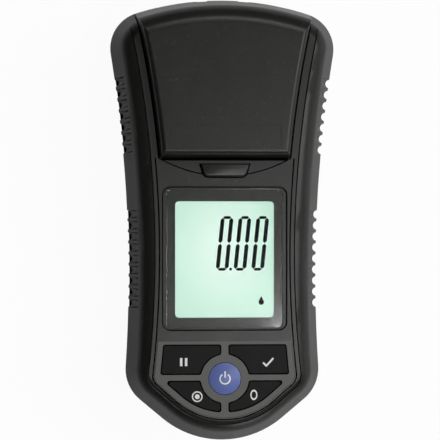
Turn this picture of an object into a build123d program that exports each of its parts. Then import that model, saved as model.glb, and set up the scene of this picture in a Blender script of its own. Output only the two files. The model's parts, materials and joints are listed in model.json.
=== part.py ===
from build123d import *
from math import asin, atan2, cos, degrees, radians, sin, sqrt
import os

os.makedirs("parts", exist_ok=True)

# Hand-held turbidity meter, lying on its back. Sizes are in millimetres.
# +X points to the right of the keypad, +Y from the tail to the lid's hinge, +Z out of the display.
# The origin is in the middle of the outline, on the surface that the foot rests on.

# Overall size
length = 155.0
width = 79.0
thickness = 62.0

# Heights above the foot
parting_z = 43.0  # joint between rear and front case, where the outline is widest
handle_back_z = 16.0  # back of the hand grip
rim_z = 56.0  # top of the front case's side rails
panel_z = 55.6  # face of the front panel
deck_z = 46.0  # floor of the sample compartment

# Outline of the case: tangent arcs up the side, over the shoulder and across the top
tail_r = 33.0
tail_tilt = 40.0  # slope of the straight run beside the tail, in degrees
hip_r = 14.0
waist_half_width = width / 2 - 6.45
waist_y = -19.6
shoulder_r = 13.0
top_r = 99.0

# Outline of the front panel
panel_tail_y = -length / 2 + 6.9
panel_tail_r = 27.0
panel_tail_tilt = 41.0
panel_hip_r = 5.5
panel_waist_half_width = width / 2 - 15.5
panel_waist_y = -12.0
panel_waist_r = 374.0
arm_top_y = length / 2 - 7.5  # the panel's two arms end here, beside the lid
arm_width = 2.3

# Mouldings
wall = 2.4
front_draft = 22.0
rear_draft = 3.0
shoulder_round = 7.0  # rounding between the side wall and the rim
back_round = 5.0  # rounding between the side wall and the back
ramp_top_y = -length / 2 + 43.5  # the grip's back starts to slope down to the foot here
ramp_foot_y = ramp_top_y + handle_back_z
ramp_round = 9.0
lip_height = 1.5
lip_thickness = 1.0
lip_inset = 0.9  # how far the lip stands inside the front case's inner wall
lip_root = 0.5
lip_end_gap = 12.0  # the lip stops this far short of the top end
seam = 0.4  # open groove between neighbouring mouldings on the face

# Grip ribs: rounded notches down both side walls
rib_pitch = 3.9
rib_r = 1.5
rib_depth = 1.2
front_rib_length = 8.5
rear_rib_length = 12.0
upper_rib_y = length / 2 - 29.3
upper_rib_count = 7
lower_rib_y = 2.0
lower_rib_count = 9

# Front panel
panel_thickness = 2.8
bead_width = 1.1  # raised bead around the panel's edge
bead_groove_width = 0.5
bead_groove_depth = 0.5
ledge_thickness = 2.0
ledge_root = 1.8  # how far the ledge reaches outward into the case's shell
ledge_root_rise = 1.2
aperture_wall = 1.6
deck_gap = 0.1
lens_width = 40.3
lens_height = 48.4
bezel_width = lens_width + 3.3
bezel_height = lens_height + 1.7
bezel_corner_r = 3.0
bezel_depth = 0.8
display_y = -13.4
lens_corner_r = 2.1
lens_thickness = 1.0
mask_thickness = 0.2
lens_clearance = 0.15
view_width = lens_width - 5.9
view_height = lens_height - 8.0
view_corner_r = 1.4
view_y = display_y - 0.3
seat_width = 1.6  # ledge that the lens is bonded to

# Keypad
keypad_top_y = -length / 2 + 35.6
keypad_inset = 2.0
keypad_plate_thickness = 0.5
key_inset = 4.0
key_top_y = keypad_top_y - 1.4
key_split_y = keypad_top_y - 12.75
key_web_across = 2.3
key_web_along = 2.8
key_corner_r = 0.9
power_y = keypad_top_y - 13.1
power_r = 5.5
power_dome = 0.9
plate_clearance = 0.1
key_ring_r = 8.5
key_clearance = 0.2
key_flange = 0.7
key_flange_thickness = 1.0
key_flange_gap = 0.2
key_sink = 0.15  # the four black keys lie this far below the keypad plate
key_edge_bevel = 0.3
mat_top_y = keypad_top_y + 1.0
mat_thickness = 1.0
dome_r_foot = 2.8
dome_r_top = 1.8
dome_height = 0.7

# Display stack under the window
guide_thickness = 1.9
glass_thickness = 1.9
glass_margin = 1.8
lcd_frame_clearance = 0.1
lcd_frame_wall = 0.7

# Lid over the sample compartment
lid_top_z = thickness
lid_skirt_gap = 0.4
lid_wall = 1.8
lid_roof = 2.0
lid_end_draft = 12.0
lid_end_round = 7.0
plateau_front_y = length / 2 - 56.0
plateau_draft = 8.0
plateau_round = 1.8
lid_arc_y = plateau_front_y - 6.4
lid_arc_r = 46.0
ledge_drop = 0.4  # the crescent below the plateau lies this far under the panel's face
crescent_thickness = 2.2
groove_half = 22.0
groove_width = 0.9
groove_depth = 1.1
tab_width = 16.2
tab_top_y = lid_arc_y + 4.1
tab_foot_y = lid_arc_y + 0.6
tab_height = 1.6
tab_side_lean = 0.8
tab_corner_r = 1.8
tab_edge_round = 0.5
end_skirt_depth = 4.4  # the closed end's skirt reaches down to the parting plane in this band
label_width = 38.0
label_foot_y = plateau_front_y + 3.3
label_top_y = label_foot_y + 7.9
label_depth = 0.25
label_corner_r = 0.6
baffle_wall = 2.0
seal_height = 2.0
seal_gap = 0.3

# Hinge at the top end
hinge_y = length / 2 - 2.6
hinge_z = parting_z
knuckle_r = 2.0
pin_r = 1.0
pin_clearance = 0.05
lid_knuckle_half = 5.5
case_knuckle_end = 10.5
knuckle_gap = 0.25
knuckle_web = 4.0
hinge_relief = 3.4
hinge_relief_half = 23.0
hinge_shelf_depth = 7.5
hinge_shelf_height = 9.0

# Sample well, for a round vial
vial_r = 12.5
vial_clearance = 0.3
well_y = length / 2 - 32.5
well_wall = 1.8
well_floor_z = 4.6
well_floor = 1.2
collar_r = vial_r + 4.5
collar_z = 47.2
baffle_r = collar_r
beam_z = 25.0
beam_window_r = 2.5
well_gap = 0.1
optics_height = 16.0
optics_wall = 3.6
socket_r = 4.6
socket_length = 7.0
emitter_r = 2.5
detector_r = 3.2
optic_length = 8.6
optic_lead_r = 0.25
optic_lead_length = 4.0
optic_lead_pitch = 2.54
amplifier_margin = 2.0
amplifier_corner_r = 2.0
ribbon_width = 12.0
ribbon_thickness = 0.6
ribbon_overlap = 3.0

# Batteries, three side by side in two layers
cell_r = 5.25
cell_length = 44.5
cell_gap = 0.3
cell_y = 5.8
nub_r = 2.7
nub_length = 1.0
bay_clearance = 0.4
bay_end_room = 2.2
bay_wall = 2.4
contact_r = 3.6
contact_thickness = 0.4
door_recess = 0.3
door_thickness = 2.0
door_lap = 1.2
door_clearance = 0.25
door_corner_r = 3.0
door_lug_r = 4.0
door_lug_offset = 2.4
door_boss_z = 11.0
door_screw_seat_z = 1.3
door_screw_head = 0.9
door_ridge_count = 5
door_ridge_pitch = 2.6
door_ridge_length = 20.0
door_ridge_width = 1.2
door_ridge_depth = 0.5

# Boards and fasteners
board_thickness = 1.6
board_z = 47.2
board_inset = 4.4
board_top_y = lid_arc_y - 2.5
ribbon_rise_y = board_top_y - 0.6
board_boss_r = 1.8
board_screw_r = 0.9
board_screw_head = 1.2
board_screw_end_z = 51.6
board_screws_at = [(17.5, board_top_y - 1.4), (17.0, keypad_top_y + 3.1)]
case_screws_at = [
    (width / 2 - 13.8, -length / 2 + 25.5),
    (width / 2 - 13.9, ramp_top_y + 10.0),
    (width / 2 - 8.8, length / 2 - 21.5),
]
deck_screws_at = [(20.6, plateau_front_y + 5.5), (22.0, well_y + 19.0)]
screw_r = 1.4
screw_head_r = 2.6
screw_head = 1.8
screw_clearance = 0.1
screw_seat_z = 30.0
screw_length = 18.0
boss_r = 3.6
front_boss_r = 2.8
front_bore_depth = 6.5
deck_thickness = 2.4
deck_boss_r = 2.8
deck_lap = 1.2  # how far the deck reaches under the aperture's wall
deck_end_inset = 5.4  # the deck stops this far inside the case's outline at the hinge
deck_screw_end_z = 34.0


# Outlines

class WaistedSide:
    """Tail, hip and waist arcs of an outline's right side, each tangent to the next."""

    def __init__(self, tail_y, tail_radius, tilt, hip_radius, waist_x, waist_level, waist_radius):
        self.tilt = tilt
        self.tail_r = tail_radius
        self.hip_r = hip_radius
        self.waist_r = waist_radius
        self.tail_centre = Vector(0, tail_y + tail_radius)
        self.waist_centre = Vector(waist_x + waist_radius, waist_level)
        along = Vector(cos(radians(tilt)), sin(radians(tilt)))
        outward = Vector(sin(radians(tilt)), -cos(radians(tilt)))
        start = self.tail_centre + outward * (tail_radius - hip_radius)
        offset_to_waist = start - self.waist_centre
        reach = waist_radius + hip_radius
        half_b = offset_to_waist.dot(along)
        step = -half_b - sqrt(half_b**2 - offset_to_waist.dot(offset_to_waist) + reach**2)
        self.hip_centre = start + along * step

    def draw(self, inset, end_angle):
        """Draw the side moved inward by inset, and return its tail and waist arcs."""
        to_waist = self.waist_centre - self.hip_centre
        hip_angle = degrees(atan2(to_waist.Y, to_waist.X))
        tail = CenterArc(self.tail_centre, self.tail_r - inset, -90, self.tilt)
        hip = CenterArc(self.hip_centre, self.hip_r - inset, self.tilt - 90, hip_angle + 90 - self.tilt)
        Line(tail @ 1, hip @ 0)
        start_angle = 180 + hip_angle
        waist = CenterArc(self.waist_centre, self.waist_r + inset, start_angle, end_angle - start_angle)
        return tail, waist

    def angle_at(self, inset, y):
        """Angle about the waist's centre at which the side reaches the level y."""
        return 180 - degrees(asin((y - self.waist_centre.Y) / (self.waist_r + inset)))


# The shoulder's centre keeps the stated width, and the waist arc is the one that touches it
top_centre = Vector(0, length / 2 - top_r)
shoulder_x = width / 2 - shoulder_r
shoulder_centre = Vector(shoulder_x, top_centre.Y + sqrt((top_r - shoulder_r) ** 2 - shoulder_x**2))
shoulder_rise = shoulder_centre.Y - waist_y
shoulder_step = waist_half_width - shoulder_x
waist_r = (shoulder_step**2 + shoulder_rise**2 - shoulder_r**2) / (2 * (shoulder_r - shoulder_step))
case_side = WaistedSide(-length / 2, tail_r, tail_tilt, hip_r, waist_half_width, waist_y, waist_r)
panel_side = WaistedSide(
    panel_tail_y, panel_tail_r, panel_tail_tilt, panel_hip_r,
    panel_waist_half_width, panel_waist_y, panel_waist_r,
)


def case_outline(inset=0.0):
    """The whole case seen from the front, moved inward by inset."""
    from_waist = shoulder_centre - case_side.waist_centre
    shoulder_angle = degrees(atan2(from_waist.Y, from_waist.X))
    from_top = shoulder_centre - top_centre
    top_angle = degrees(atan2(from_top.Y, from_top.X))
    with BuildSketch() as sketch:
        with BuildLine():
            tail, _ = case_side.draw(inset, shoulder_angle)
            start = shoulder_angle - 180
            CenterArc(shoulder_centre, shoulder_r - inset, start, top_angle - start)
            top = CenterArc(top_centre, top_r - inset, top_angle, 90 - top_angle)
            Line(top @ 1, tail @ 0)
        make_face()
        mirror(about=Plane.YZ)
    return sketch.sketch


def panel_outline(inset=0.0, top_y=arm_top_y):
    """The front panel without the lid's aperture, moved inward by inset and cut level at top_y."""
    with BuildSketch() as sketch:
        with BuildLine():
            tail, waist = panel_side.draw(inset, panel_side.angle_at(inset, top_y))
            Polyline(waist @ 1, (0, top_y), tail @ 0)
        make_face()
        mirror(about=Plane.YZ)
    return sketch.sketch


def aperture_outline(inset=0.0):
    """The opening that the lid fills, moved inward by inset and open past the case's top end."""
    beyond_y = length / 2 + wall
    with BuildSketch() as sketch:
        add(panel_outline(arm_width + inset, beyond_y))
        with BuildSketch(mode=Mode.INTERSECT):
            with Locations((0, lid_arc_y + lid_arc_r)):
                Circle(lid_arc_r - inset)
            with Locations((0, lid_arc_y + lid_arc_r + beyond_y / 2)):
                Rectangle(width, beyond_y)
    return sketch.sketch


def key_outline(side, row, grow=0.0):
    """One of the four black keys: side is -1 left or 1 right, row is 1 upper or -1 lower."""
    span = width / 2
    with BuildSketch() as sketch:
        add(panel_outline(key_inset - grow, key_top_y + grow))
        corner = (side * (key_web_along / 2 - grow), key_split_y + row * (key_web_across / 2 - grow))
        with Locations((corner[0] + side * span / 2, corner[1] + row * span / 2)):
            Rectangle(span, span, mode=Mode.INTERSECT)
        with Locations((0, power_y)):
            Circle(key_ring_r - grow, mode=Mode.SUBTRACT)
        offset(amount=-key_corner_r, kind=Kind.INTERSECTION, mode=Mode.REPLACE)
        offset(amount=key_corner_r, kind=Kind.ARC, mode=Mode.REPLACE)
    return sketch.sketch


lid_foot_z = parting_z + lid_skirt_gap


# Solid blanks that the shells are cut from

def front_form(inset=0.0):
    """The front case as a solid, moved inward by inset on every side but the parting plane."""
    with BuildPart() as form:
        with BuildSketch(Plane.XY.offset(parting_z)):
            add(case_outline(inset))
        extrude(amount=rim_z - inset - parting_z, taper=front_draft)
        fillet(form.faces().sort_by(Axis.Z)[-1].edges(), shoulder_round - inset)
    return form.part


def rear_form(inset=0.0):
    """The rear case as a solid: a deep block under the well and a shallow grip."""
    slope = Vector(ramp_foot_y - ramp_top_y, -handle_back_z).normalized()
    shift = Vector(-slope.Y, slope.X) * inset
    back_z = handle_back_z + inset
    top_y = ramp_top_y + shift.X + (back_z - handle_back_z - shift.Y) * slope.X / slope.Y
    foot_y = ramp_foot_y + shift.X + (inset - shift.Y) * slope.X / slope.Y
    with BuildPart() as form:
        with BuildSketch(Plane.XY.offset(parting_z)):
            add(case_outline(inset))
        extrude(amount=-(parting_z - inset), taper=rear_draft)
        with BuildSketch(Plane.YZ):
            with BuildLine():
                Polyline(
                    (-length, back_z), (top_y, back_z), (foot_y, inset),
                    (foot_y, -length), (-length, -length), (-length, back_z),
                )
            make_face()
        extrude(amount=width, both=True, mode=Mode.SUBTRACT)
        bends = form.edges().filter_by(Axis.X).filter_by_position(Axis.Y, foot_y - 0.1, foot_y + 0.1)
        fillet(bends, ramp_round + inset)
        bends = form.edges().filter_by(Axis.X).filter_by_position(Axis.Y, top_y - 0.1, top_y + 0.1)
        fillet(bends, ramp_round - inset)
        back = form.faces().filter_by(lambda face: face.normal_at().Z < -0.3)
        fillet(back.edges() - back.edges().filter_by(Axis.X), back_round - inset)
    return form.part


def end_form(inset=0.0):
    """The envelope of the lid's closed end, which follows the case's outline and rounds over."""
    with BuildPart() as form:
        with BuildSketch(Plane.XY.offset(parting_z)):
            add(case_outline(inset))
        extrude(amount=lid_top_z - inset - parting_z, taper=lid_end_draft)
        fillet(form.faces().sort_by(Axis.Z)[-1].edges(), lid_end_round - inset)
    return form.part


def rib_places(draft, toward):
    """Axes of the grip notches on both sides, leaning with the wall; toward is 1 up or -1 down."""
    upper = [upper_rib_y - rib_pitch * i for i in range(upper_rib_count)]
    lower = [lower_rib_y - rib_pitch * i for i in range(lower_rib_count)]
    places = []
    for y in upper + lower:
        rise = y - case_side.waist_centre.Y
        x = case_side.waist_centre.X - sqrt(case_side.waist_r**2 - rise**2)
        for side in (-1, 1):
            centre = Vector(side * case_side.waist_centre.X, case_side.waist_centre.Y)
            outward = (centre - Vector(side * x, y)).normalized()
            lean = outward * -sin(radians(draft)) + Vector(0, 0, toward * cos(radians(draft)))
            origin = Vector(side * x, y, parting_z) + outward * (rib_r - rib_depth)
            places.append(Plane(origin=origin, z_dir=lean).location)
    return places


# Heights and places that several pieces share
well_r = vial_r + vial_clearance
well_outer_r = well_r + well_wall
panel_back_z = panel_z - panel_thickness
bezel_z = panel_z - bezel_depth
lens_seat_z = bezel_z - lens_thickness - mask_thickness
cell_pitch = 2 * cell_r + cell_gap
bay_half_x = cell_length / 2 + bay_end_room
bay_half_y = 1.5 * cell_pitch + bay_clearance
door_z = door_recess + door_thickness
bay_roof_z = door_z + 2 * bay_clearance + 2 * cell_pitch
door_screw_y = cell_y + bay_half_y + door_lap + door_lug_offset
case_screw_places = [(side * x, y) for x, y in case_screws_at for side in (-1, 1)]
deck_screw_places = [(side * x, y) for x, y in deck_screws_at for side in (-1, 1)]
board_screw_places = [(side * x, y) for x, y in board_screws_at for side in (-1, 1)]
front_outer = front_form()
front_inner = front_form(wall)
rear_outer = rear_form()
rear_inner = rear_form(wall)


def hinge_ring(radius, x_from, x_to, mode=Mode.ADD):
    """A cylinder about the lid's hinge axis between two distances from the middle."""
    with Locations(Plane(origin=(x_from, hinge_y, hinge_z), z_dir=(1, 0, 0))):
        Cylinder(radius, x_to - x_from, align=(Align.CENTER, Align.CENTER, Align.MIN), mode=mode)


def block(x_from, x_to, y_from, y_to, z_from, z_to, mode=Mode.ADD):
    """A rectangular block between the given corners."""
    with Locations(((x_from + x_to) / 2, (y_from + y_to) / 2, (z_from + z_to) / 2)):
        Box(x_to - x_from, y_to - y_from, z_to - z_from, mode=mode)


def posts(places, radius, z_from, z_to, mode=Mode.ADD):
    """Round posts, or round holes, at the given places."""
    with BuildSketch(Plane.XY.offset(z_from)) as rounds:
        with Locations(*places):
            Circle(radius)
    extrude(rounds.sketch, amount=z_to - z_from, mode=mode)


def door_outline(grow=0.0):
    """The battery door with the lug that its screw goes through."""
    with BuildSketch() as sketch:
        with Locations((0, cell_y)):
            RectangleRounded(
                2 * (bay_half_x + door_lap + grow), 2 * (bay_half_y + door_lap + grow), door_corner_r
            )
        with Locations((0, door_screw_y)):
            Circle(door_lug_r + grow)
    return sketch.sketch


# Rear case: back shell with the foot, the battery bay, the well's seat and two hinge knuckles
with BuildPart() as rear_case:
    add(rear_outer)
    add(rear_inner, mode=Mode.SUBTRACT)
    # battery bay
    block(
        -bay_half_x - bay_wall, bay_half_x + bay_wall,
        cell_y - bay_half_y - bay_wall, cell_y + bay_half_y + bay_wall, 0, bay_roof_z + bay_wall,
    )
    posts([(0, door_screw_y)], boss_r, 0, door_boss_z)
    # screw bosses and the seat under the well
    posts(case_screw_places, boss_r, 0, parting_z)
    posts(deck_screw_places, deck_boss_r, 0, deck_z - deck_thickness)
    posts([(0, well_y)], well_outer_r, 0, well_floor_z - well_floor)
    # shelf behind the hinge, inside the end wall
    with BuildSketch(Plane.XY.offset(parting_z)):
        add(case_outline())
        add(case_outline(hinge_shelf_depth), mode=Mode.SUBTRACT)
        with Locations((0, length / 2)):
            Rectangle(2 * (hinge_relief_half + bay_wall), length / 2, mode=Mode.INTERSECT)
    extrude(amount=-hinge_shelf_height)
    add(rear_outer, mode=Mode.INTERSECT)
    # lip that registers inside the front case, left out at the hinge
    with BuildSketch(Plane.XY.offset(parting_z - lip_height)):
        add(case_outline(wall - lip_root))
        add(case_outline(wall + lip_inset + lip_thickness), mode=Mode.SUBTRACT)
        with Locations((0, -lip_end_gap)):
            Rectangle(width, length, mode=Mode.INTERSECT)
    extrude(amount=lip_height)
    with BuildSketch(Plane.XY.offset(parting_z)):
        add(case_outline(wall + lip_inset))
        add(case_outline(wall + lip_inset + lip_thickness), mode=Mode.SUBTRACT)
        with Locations((0, -lip_end_gap)):
            Rectangle(width, length, mode=Mode.INTERSECT)
    extrude(amount=lip_height)
    # battery bay, with a wider opening that the door fills flush with the foot
    block(
        -bay_half_x, bay_half_x, cell_y - bay_half_y, cell_y + bay_half_y,
        0, bay_roof_z, mode=Mode.SUBTRACT,
    )
    with BuildSketch(Plane.XY):
        add(door_outline(door_clearance))
    extrude(amount=door_z + door_clearance, mode=Mode.SUBTRACT)
    # screw holes: a deep counterbore from the back and a clearance hole to the front
    posts(case_screw_places, screw_head_r + door_clearance, 0, screw_seat_z, mode=Mode.SUBTRACT)
    posts(case_screw_places, screw_r + screw_clearance, 0, parting_z, mode=Mode.SUBTRACT)
    posts(
        case_screw_places, front_boss_r + lip_inset / 2,
        parting_z, parting_z + lip_height, mode=Mode.SUBTRACT,
    )
    posts(deck_screw_places, screw_r + screw_clearance, deck_screw_end_z, deck_z, mode=Mode.SUBTRACT)
    posts([(0, door_screw_y)], screw_r + screw_clearance, 0, door_boss_z - wall, mode=Mode.SUBTRACT)
    # relief that the lid's end wall swings into, and the two case knuckles that stand in it
    hinge_ring(hinge_relief, -hinge_relief_half, hinge_relief_half, mode=Mode.SUBTRACT)
    block(
        -hinge_relief_half, hinge_relief_half, hinge_y, length / 2 + wall,
        hinge_z - hinge_relief, hinge_z + wall, mode=Mode.SUBTRACT,
    )
    for side in (-1, 1):
        ends = sorted((side * (lid_knuckle_half + knuckle_gap), side * case_knuckle_end))
        hinge_ring(knuckle_r, *ends)
        block(
            *ends, hinge_y - knuckle_r, hinge_y + knuckle_r / 2,
            hinge_z - hinge_relief - wall / 2, hinge_z,
        )
    hinge_ring(pin_r + pin_clearance, -case_knuckle_end, case_knuckle_end, mode=Mode.SUBTRACT)
    # grip notches
    with Locations(*rib_places(rear_draft, -1)):
        Cylinder(
            rib_r, rear_rib_length, align=(Align.CENTER, Align.CENTER, Align.MIN), mode=Mode.SUBTRACT
        )
rear_case.part.label = "rear_case"
export_step(rear_case.part, "parts/rear_case.step")

# Front case: side rails and tail, with a ledge that carries the panel and the aperture's wall
with BuildPart() as front_case:
    add(front_outer)
    add(front_inner, mode=Mode.SUBTRACT)
    with BuildSketch(Plane.XY.offset(panel_back_z - ledge_thickness)):
        add(panel_outline(-ledge_root))
        add(panel_outline(arm_width), mode=Mode.SUBTRACT)
    extrude(amount=ledge_thickness + ledge_root_rise)
    with BuildSketch(Plane.XY.offset(deck_z + deck_gap)):
        add(aperture_outline(-aperture_wall))
        add(aperture_outline(), mode=Mode.SUBTRACT)
    extrude(amount=panel_back_z - deck_z - deck_gap)
    posts(case_screw_places, front_boss_r, parting_z, panel_back_z - ledge_thickness / 2)
    add(front_outer, mode=Mode.INTERSECT)
    # recess for the panel, then the lid's opening through the top end
    with BuildSketch(Plane.XY.offset(panel_back_z)):
        add(panel_outline(-seam, arm_top_y + seam))
    extrude(amount=thickness, mode=Mode.SUBTRACT)
    with BuildSketch(Plane.XY.offset(parting_z)):
        add(aperture_outline())
    extrude(amount=thickness, mode=Mode.SUBTRACT)
    posts(
        case_screw_places, screw_r + screw_clearance,
        parting_z, parting_z + front_bore_depth, mode=Mode.SUBTRACT,
    )
    with Locations(*rib_places(front_draft, 1)):
        Cylinder(
            rib_r, front_rib_length, align=(Align.CENTER, Align.CENTER, Align.MIN), mode=Mode.SUBTRACT
        )
front_case.part.label = "front_case"
export_step(front_case.part, "parts/front_case.step")

# Front panel: face plate with two arms beside the lid, the display's window and the key holes
with BuildPart() as front_panel:
    with BuildSketch(Plane.XY.offset(panel_back_z)):
        add(panel_outline())
        add(aperture_outline(), mode=Mode.SUBTRACT)
    extrude(amount=panel_thickness)
    add(front_outer, mode=Mode.INTERSECT)
    posts(board_screw_places, board_boss_r, board_z + board_thickness, panel_back_z)
    # fine groove that sets off the bead around the edge
    with BuildSketch(Plane.XY.offset(panel_z)):
        add(panel_outline(bead_width, plateau_front_y))
        add(panel_outline(bead_width + bead_groove_width, plateau_front_y), mode=Mode.SUBTRACT)
    extrude(amount=-bead_groove_depth, mode=Mode.SUBTRACT)
    # stepped window for the lens
    with BuildSketch(Plane.XY.offset(bezel_z)):
        with Locations((0, display_y)):
            RectangleRounded(bezel_width, bezel_height, bezel_corner_r)
    extrude(amount=bezel_depth, mode=Mode.SUBTRACT)
    with BuildSketch(Plane.XY.offset(lens_seat_z)):
        with Locations((0, display_y)):
            RectangleRounded(
                lens_width + 2 * lens_clearance, lens_height + 2 * lens_clearance, lens_corner_r
            )
    extrude(amount=bezel_z - lens_seat_z, mode=Mode.SUBTRACT)
    with BuildSketch(Plane.XY.offset(panel_back_z)):
        with Locations((0, display_y)):
            Rectangle(lens_width - 2 * seat_width, lens_height - 2 * seat_width)
    extrude(amount=panel_thickness, mode=Mode.SUBTRACT)
    # recess for the keypad plate, and the key holes through it
    with BuildSketch(Plane.XY.offset(panel_z - keypad_plate_thickness)):
        add(panel_outline(keypad_inset, keypad_top_y))
    extrude(amount=keypad_plate_thickness, mode=Mode.SUBTRACT)
    with BuildSketch(Plane.XY.offset(panel_back_z)):
        for side in (-1, 1):
            for row in (-1, 1):
                add(key_outline(side, row, key_clearance))
        with Locations((0, power_y)):
            Circle(power_r + key_clearance)
    extrude(amount=panel_thickness, mode=Mode.SUBTRACT)
    posts(
        board_screw_places, board_screw_r + screw_clearance,
        board_z, board_screw_end_z, mode=Mode.SUBTRACT,
    )
front_panel.part.label = "front_panel"
export_step(front_panel.part, "parts/front_panel.step")

# Keypad plate: thin cover around the keys
with BuildPart() as keypad_plate:
    with BuildSketch(Plane.XY.offset(panel_z - keypad_plate_thickness)):
        add(panel_outline(keypad_inset + plate_clearance, keypad_top_y - plate_clearance))
        for side in (-1, 1):
            for row in (-1, 1):
                add(key_outline(side, row, key_clearance), mode=Mode.SUBTRACT)
        with Locations((0, power_y)):
            Circle(power_r + key_clearance, mode=Mode.SUBTRACT)
    extrude(amount=keypad_plate_thickness)
keypad_plate.part.label = "keypad_plate"
export_step(keypad_plate.part, "parts/keypad_plate.step")

# Keys: caps with a flange under the panel that keeps them in
flange_top_z = panel_back_z - key_flange_gap
flange_z = flange_top_z - key_flange_thickness
key_names = {(-1, 1): "hold_key", (1, 1): "test_key", (-1, -1): "record_key", (1, -1): "zero_key"}
key_centres = {}
for (side, row), name in key_names.items():
    with BuildPart() as key:
        with BuildSketch(Plane.XY.offset(flange_z)):
            add(key_outline(side, row))
        extrude(amount=panel_z - key_sink - flange_z)
        chamfer(key.faces().sort_by(Axis.Z)[-1].edges(), key_edge_bevel)
        with BuildSketch(Plane.XY.offset(flange_z)):
            add(key_outline(side, row, key_flange))
        extrude(amount=key_flange_thickness)
    key_centres[name] = key_outline(side, row).face().center()
    key.part.label = name
    export_step(key.part, f"parts/{name}.step")

with BuildPart() as power_key:
    with BuildSketch(Plane.XZ.offset(-power_y)):
        with BuildLine():
            rim = (power_r, panel_z)
            crown = (0, panel_z + power_dome)
            dome_r = (power_r**2 + power_dome**2) / (2 * power_dome)
            RadiusArc(rim, crown, -dome_r)
            Polyline(
                crown, (0, flange_z), (power_r + key_flange, flange_z),
                (power_r + key_flange, flange_top_z), (power_r, flange_top_z), rim,
            )
        make_face()
    revolve(axis=Axis((0, power_y, 0), (0, 0, 1)))
power_key.part.label = "power_key"
export_step(power_key.part, "parts/power_key.step")
key_centres["power_key"] = Vector(0, power_y)

# Key mat: silicone sheet with a dome under each key
with BuildPart() as key_mat:
    with BuildSketch(Plane.XY.offset(board_z + board_thickness)):
        add(panel_outline(board_inset + plate_clearance, mat_top_y))
    extrude(amount=mat_thickness)
    for centre in key_centres.values():
        with Locations((centre.X, centre.Y, board_z + board_thickness + mat_thickness)):
            Cone(dome_r_foot, dome_r_top, dome_height, align=(Align.CENTER, Align.CENTER, Align.MIN))
key_mat.part.label = "key_mat"
export_step(key_mat.part, "parts/key_mat.step")

# Display stack: lens, its printed border, the glass cell, its frame and the light guide
with BuildPart() as display_lens:
    with BuildSketch(Plane.XY.offset(bezel_z - lens_thickness)):
        with Locations((0, display_y)):
            RectangleRounded(lens_width, lens_height, lens_corner_r)
    extrude(amount=lens_thickness)
display_lens.part.label = "display_lens"
export_step(display_lens.part, "parts/display_lens.step")

with BuildPart() as lens_mask:
    with BuildSketch(Plane.XY.offset(lens_seat_z)):
        with Locations((0, display_y)):
            RectangleRounded(lens_width, lens_height, lens_corner_r)
        with Locations((0, view_y)):
            RectangleRounded(view_width, view_height, view_corner_r, mode=Mode.SUBTRACT)
    extrude(amount=mask_thickness)
lens_mask.part.label = "lens_mask"
export_step(lens_mask.part, "parts/lens_mask.step")

guide_z = board_z + board_thickness
glass_z = guide_z + guide_thickness
glass_width = view_width + 2 * glass_margin
glass_height = view_height + 2 * glass_margin
with BuildPart() as light_guide:
    with BuildSketch(Plane.XY.offset(guide_z)):
        with Locations((0, view_y)):
            Rectangle(glass_width, glass_height)
    extrude(amount=guide_thickness)
light_guide.part.label = "light_guide"
export_step(light_guide.part, "parts/light_guide.step")

with BuildPart() as lcd_glass:
    with BuildSketch(Plane.XY.offset(glass_z)):
        with Locations((0, view_y)):
            Rectangle(glass_width, glass_height)
    extrude(amount=glass_thickness)
lcd_glass.part.label = "lcd_glass"
export_step(lcd_glass.part, "parts/lcd_glass.step")

with BuildPart() as lcd_frame:
    with BuildSketch(Plane.XY.offset(guide_z)):
        with Locations((0, view_y)):
            frame_margin = 2 * (lcd_frame_clearance + lcd_frame_wall)
            Rectangle(glass_width + frame_margin, glass_height + frame_margin)
            Rectangle(
                glass_width + 2 * lcd_frame_clearance, glass_height + 2 * lcd_frame_clearance,
                mode=Mode.SUBTRACT,
            )
    extrude(amount=guide_thickness + glass_thickness)
lcd_frame.part.label = "lcd_frame"
export_step(lcd_frame.part, "parts/lcd_frame.step")

# Main board, hung from the panel's bosses
with BuildPart() as main_board:
    with BuildSketch(Plane.XY.offset(board_z)):
        add(panel_outline(board_inset, board_top_y))
        with Locations(*board_screw_places):
            Circle(board_screw_r + screw_clearance, mode=Mode.SUBTRACT)
    extrude(amount=board_thickness)
main_board.part.label = "main_board"
export_step(main_board.part, "parts/main_board.step")


def screws(places, head_r, shank_r, head_from_z, head_to_z, shank_end_z):
    """Screws with flat heads between two heights, whose shanks run on to shank_end_z."""
    posts(places, head_r, head_from_z, head_to_z)
    posts(places, shank_r, head_to_z, shank_end_z)


with BuildPart() as board_screws:
    screws(
        board_screw_places, 2 * board_screw_r, board_screw_r,
        board_z - board_screw_head, board_z, board_screw_end_z,
    )
board_screws.part.label = "board_screws"
export_step(board_screws.part, "parts/board_screws.step")

with BuildPart() as case_screws:
    screws(
        case_screw_places, screw_head_r, screw_r,
        screw_seat_z - screw_head, screw_seat_z, screw_seat_z - screw_head + screw_length,
    )
case_screws.part.label = "case_screws"
export_step(case_screws.part, "parts/case_screws.step")

# Sample deck: floor of the compartment, with the hole that the well hangs in
with BuildPart() as sample_deck:
    with BuildSketch(Plane.XY.offset(deck_z - deck_thickness)):
        add(aperture_outline(-deck_lap))
        add(case_outline(deck_end_inset), mode=Mode.INTERSECT)
        with Locations((0, well_y)):
            Circle(well_outer_r + well_gap, mode=Mode.SUBTRACT)
    extrude(amount=deck_thickness)
    posts(deck_screw_places, screw_r + screw_clearance, 0, thickness, mode=Mode.SUBTRACT)
    # notches round the front case's bosses
    posts(case_screw_places, front_boss_r + well_gap, 0, thickness, mode=Mode.SUBTRACT)
    posts(
        deck_screw_places, screw_head_r + screw_clearance,
        deck_z - screw_head, deck_z, mode=Mode.SUBTRACT,
    )
sample_deck.part.label = "sample_deck"
export_step(sample_deck.part, "parts/sample_deck.step")

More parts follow.
